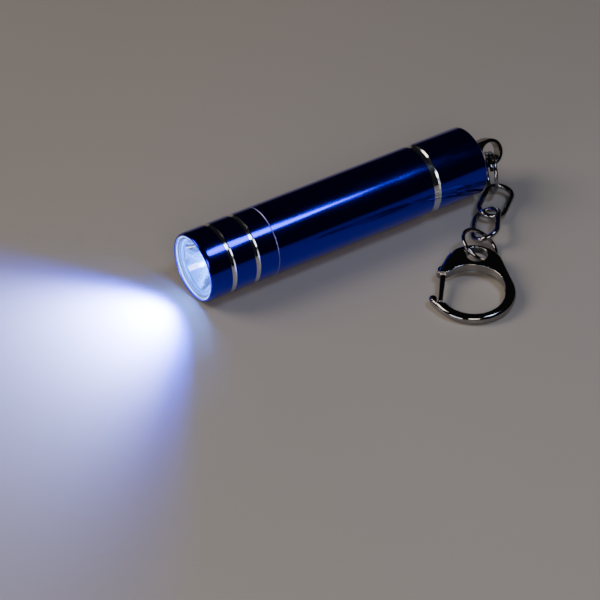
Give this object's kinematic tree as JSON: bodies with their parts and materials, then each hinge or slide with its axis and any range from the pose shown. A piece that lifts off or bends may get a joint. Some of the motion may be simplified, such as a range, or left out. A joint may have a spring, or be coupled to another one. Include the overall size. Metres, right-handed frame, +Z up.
{
  "type": "keychain flashlight",
  "caption": "Slim round keychain flashlight with a turned metal barrel, screw head and tail cap, and a chain with a snap clasp.",
  "frame": {"origin": "on the barrel's axis, at the middle of the grip tube", "axes": "-X along the barrel's axis, the way the light shines; +Z up from the surface that the light lies on; +X toward the tail cap and chain"},
  "size_m": [0.0772, 0.048, 0.015],
  "materials": {
    "blue_anodised": "glossy blue anodised",
    "lens": "clear, polished",
    "black_rubber": "smooth",
    "reflector_metal": "metallised",
    "led_epoxy": "clear epoxy, lit",
    "tinned_wire": "tinned",
    "board_green": "solder mask",
    "chip_black": "moulded",
    "contact_brass": "plated",
    "cell_label": "printed film, no print",
    "cell_steel": "nickel plated",
    "seal_plastic": "moulded",
    "spring_steel": "bright",
    "black_nickel": "dark polished plating",
    "pin_steel": "turned"
  },
  "bodies": {
    "grip": {"grip_tube": "blue_anodised", "head_ring": "black_rubber", "tail_ring": "black_rubber"},
    "cell": {"cell_can": "cell_label", "cell_nub": "cell_steel", "cell_seal": "seal_plastic", "cell_base": "cell_steel"},
    "head": {"head_shell": "blue_anodised", "window": "lens", "window_ring": "black_rubber", "reflector": "reflector_metal", "led": "led_epoxy", "led_lead_1": "tinned_wire", "led_lead_2": "tinned_wire", "driver_board": "board_green", "driver_chip": "chip_black", "contact_pad": "contact_brass", "retainer": "contact_brass"},
    "tail_spring": {"tail_spring": "spring_steel"},
    "tail": {"tail_cap": "blue_anodised"},
    "lug": {"lug": "black_nickel", "swivel_washer": "pin_steel"},
    "split_ring": {"split_ring": "black_nickel"},
    "link_1": {"link_1": "black_nickel"},
    "link_2": {"link_2": "black_nickel"},
    "jump_ring": {"jump_ring": "black_nickel"},
    "clasp": {"clasp_body": "black_nickel", "gate_pin": "pin_steel", "gate_spring": "spring_steel"},
    "gate": {"gate": "black_nickel"}
  },
  "joints": [
    {"name": "head_travel", "type": "slide", "parent": "grip", "child": "cell", "axis": [-1, 0, 0], "range_m": [0, 0.00225]},
    {"name": "head_twist", "type": "hinge", "parent": "cell", "child": "head", "pos_m": [-0.0194, 0, 0], "axis": [-1, 0, 0], "range_deg": [0, 1080]},
    {"name": "tail_travel", "type": "slide", "parent": "grip", "child": "tail_spring", "axis": [1, 0, 0], "range_m": [0, 0.00225]},
    {"name": "tail_twist", "type": "hinge", "parent": "tail_spring", "child": "tail", "pos_m": [0.0194, 0, 0], "axis": [1, 0, 0], "range_deg": [0, 1080]},
    {"name": "lug_swivel", "type": "hinge", "parent": "tail", "child": "lug", "pos_m": [0.033, 0, 0], "axis": [1, 0, 0], "continuous": true},
    {"name": "split_ring_swing", "type": "hinge", "parent": "lug", "child": "split_ring", "pos_m": [0.03864, -0.00108, -0.00231], "axis": [0.9994, 0.0148, 0.0316], "range_deg": [-3, 60]},
    {"name": "link_1_swing", "type": "hinge", "parent": "split_ring", "child": "link_1", "pos_m": [0.03617, -0.00551, -0.00648], "axis": [0.3257, 0.7942, -0.5129], "range_deg": [-6, 3]},
    {"name": "link_2_swing", "type": "hinge", "parent": "link_1", "child": "link_2", "pos_m": [0.02933, -0.00993, -0.00535], "axis": [-0.342, -0.9373, -0.0674], "range_deg": [0, 60]},
    {"name": "jump_ring_swing", "type": "hinge", "parent": "link_2", "child": "jump_ring", "pos_m": [0.02444, -0.01919, -0.00502], "axis": [0.8315, -0.3803, 0.405], "range_deg": [-53, 60]},
    {"name": "clasp_swing", "type": "hinge", "parent": "jump_ring", "child": "clasp", "pos_m": [0.01773, -0.02135, -0.00355], "axis": [0.0398, -0.9081, -0.4169], "range_deg": [0, 60]},
    {"name": "gate_open", "type": "hinge", "parent": "clasp", "child": "gate", "pos_m": [0.01051, -0.02304, -0.00534], "axis": [-0.0487, -0.0637, 0.9968], "range_deg": [0, 40], "stiffness_Nm_per_rad": 0.008, "springref_deg": -28.65}
  ],
  "couplings": [
    {"joint": "head_travel", "follows": "head_twist", "m_per_rad": 0.00011937},
    {"joint": "tail_travel", "follows": "tail_twist", "m_per_rad": 0.00011937}
  ]
}
